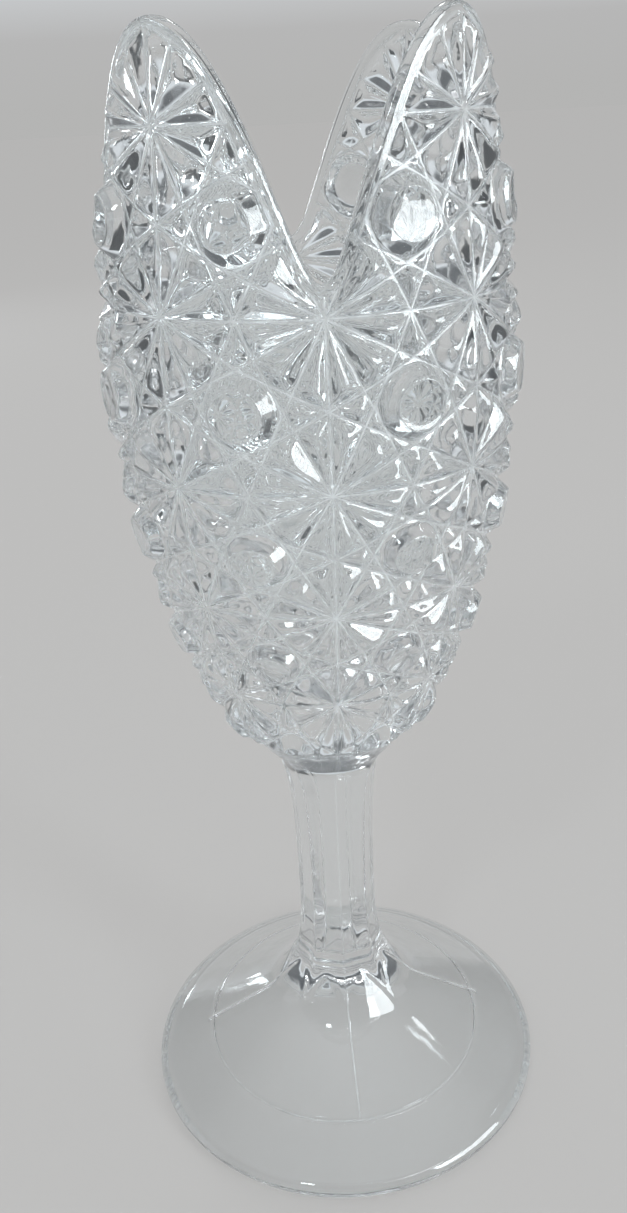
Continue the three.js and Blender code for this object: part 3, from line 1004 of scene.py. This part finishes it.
def trim(points, faces, room):
    """Keeps the surface where room is positive. Returns it with its new edge, in order."""
    room = np.where(np.abs(room) < LEAST_ROOM, LEAST_ROOM, room)
    inside = room[faces] > 0
    kept = [tuple(face) for face in faces[inside.all(axis=1)]]
    added, cuts, follow = [], {}, {}

    def cut(a, b):
        key = (min(a, b), max(a, b))
        if key not in cuts:
            share = room[key[0]] / (room[key[0]] - room[key[1]])
            cuts[key] = len(points) + len(added)
            added.append(points[key[0]] * (1 - share) + points[key[1]] * share)
        return cuts[key]

    for face in faces[inside.any(axis=1) & ~inside.all(axis=1)]:
        signs = [room[corner] > 0 for corner in face]
        odd = signs.index(sum(signs) == 1)
        a, b, c = (int(face[(odd + step) % 3]) for step in range(3))
        ab, ac = cut(a, b), cut(a, c)
        if signs[odd]:
            kept.append((a, ab, ac))
            follow[ab] = ac
        else:
            kept += [(ab, b, c), (ab, c, ac)]
            follow[ac] = ab
    points = np.vstack([points, added])
    start = max(follow, key=lambda place: -abs(points[place][0]) - points[place][1])
    edge = [start]
    while follow[edge[-1]] != start:
        edge.append(follow[edge[-1]])
    used, index = np.unique(np.array(kept), return_inverse=True)
    new_places = {int(old): new for new, old in enumerate(used)}
    return points[used], index.reshape(-1, 3), [new_places[place] for place in edge]


def turn_of(points):
    return np.mod(np.arctan2(points[:, 0], -points[:, 1]) / (2 * math.pi), 1)


def edge_loop(places, turns, first):
    """An open edge as a loop of the skin, running with the turns."""
    turns = np.asarray(turns)
    if np.median(np.mod(np.diff(turns) + 0.5, 1) - 0.5) < 0:
        places, turns = places[::-1], turns[::-1]
    start = int(np.argmin(turns))
    places = places[start:] + places[:start]
    turns = np.maximum.accumulate(np.roll(turns, -start))
    return [(first + place, float(turn)) for place, turn in zip(places, turns)]


def make_outside(last):
    """Adds the trimmed relief to the skin, and returns its edge under the rim."""
    points, faces = make_relief()
    rim_places, rim_turns, _, _ = even_rim(RIM_MARKS)
    heights = rim_height(rim_turns)
    rim_points = polar(wall_radius(heights), rim_turns, heights)
    tree = mathutils.kdtree.KDTree(RIM_MARKS)
    for place, point in enumerate(rim_points):
        tree.insert(point, place)
    tree.balance()
    found = [tree.find(point[:3]) for point in points]
    off = np.array([distance for _, _, distance in found])
    below = points[:, 2] < rim_height(turn_of(points))
    points, faces, top = trim(points, faces, np.where(below, off, -off) - TRIM)
    points, faces, bottom, top = trim_foot(points, faces, top)
    first = skin.add(points[:, :3], points[:, 3])
    skin.faces.extend(tuple(int(place) + first for place in face) for face in faces)
    skin.bridge(last, edge_loop(bottom, turn_of(points[bottom]), first))
    nearest = [rim_places[tree.find(points[place][:3])[1]] for place in top]
    return edge_loop(top, nearest, first)


def trim_foot(points, faces, top):
    """Trims the relief's foot, and finds the upper edge again among the points that are left."""
    marks = [tuple(points[place]) for place in top]
    points, faces, bottom = trim(points, faces, points[:, 2] - RELIEF_FOOT + FOOT_TRIM)
    where = {tuple(point): place for place, point in enumerate(points)}
    return points, faces, bottom, [where[mark] for mark in marks]


# Below the rim the rings take the rim's shape less and less, until one lies level at EVEN_LEVEL.
EVEN_LEVEL = 150
WALL_SHARES = (
    0.01, 0.025, 0.045, 0.075, 0.12, 0.18, 0.25, 0.34, 0.43, 0.53, 0.64, 0.75, 0.87, 1,
)
FLOOR_LEVELS = (
    148, 145, 142, 139, 136, 133, 130, 127.5, 125, 122.7, 120.6, 118.7, 117, 115.6, 114.5,
    113.7, 113.25,
)


def make_inside(last):
    """Rounds the rim over and goes down inside the bowl to its floor."""
    places, turns, turn_in, height_in = even_rim(RIM_STEPS)

    def inner_radius(height, distance):
        """The wall thins towards the rim."""
        share = np.clip(1 - distance / LIP_TAPER, 0, 1)
        return cavity_radius(height) + (WALL - LIP) * share * share

    def rim_ring(distance, angle):
        at = turns + turn_in * distance
        height = rim_height(turns) + height_in * distance
        outer, inner = wall_radius(height), inner_radius(height, distance)
        radius = (outer + inner) / 2 + (outer - inner) / 2 * math.cos(angle)
        return skin.loop(polar(radius, at, height), places), at, height

    last = skin.bridge(last, rim_ring(LIP / 2 + LIP_GAP, 0)[0])
    for angle in np.linspace(0, math.pi, LIP_RINGS):
        made, at, height = rim_ring(LIP / 2 * (1 - math.sin(angle)), angle)
        last = skin.bridge(last, made)
    for share in WALL_SHARES:
        level = height + (EVEN_LEVEL - height) * share
        radius = inner_radius(level, height - level)
        last = skin.bridge(last, skin.loop(polar(radius, at, level), places))
    last = [(index, turn) for (index, _), turn in zip(last, at)]
    for level in FLOOR_LEVELS:
        last = skin.bridge(last, ring(cavity_radius(level), level, even_turns))
    skin.close(last, (0, 0, CAVITY_FLOOR))


make_inside(make_outside(stem_edge))


# One body of glass
# The closed skin becomes one piece, which stands for the foot, the stem and the bowl. The real
# vase is pressed in one go, so nothing is fixed to it.
CM3_PER_M3 = 1e6


def make_vase():
    mesh = bpy.data.meshes.new("vase_glass")
    mesh.from_pydata([tuple(point) for point in np.array(skin.points) * MM], [], skin.faces)
    build = bmesh.new()
    build.from_mesh(mesh)
    bmesh.ops.recalc_face_normals(build, faces=build.faces)
    for face in build.faces:
        face.smooth = True
    open_edges = sum(1 for edge in build.edges if len(edge.link_faces) != 2)
    volume = round(build.calc_volume() * CM3_PER_M3, 1)
    print("vase skin:", len(build.faces), "faces,", open_edges, "open edges,", volume, "cm3")
    build.to_mesh(mesh)
    build.free()
    mesh.attributes.new("frost", "FLOAT", "POINT").data.foreach_set("value", skin.frost)
    mesh.materials.append(pressed_glass)
    vase = bpy.data.objects.new("vase_glass", mesh)
    bpy.context.scene.collection.objects.link(vase)
    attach(vase, "root")
    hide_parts("foot", "stem", "bowl")


make_vase()
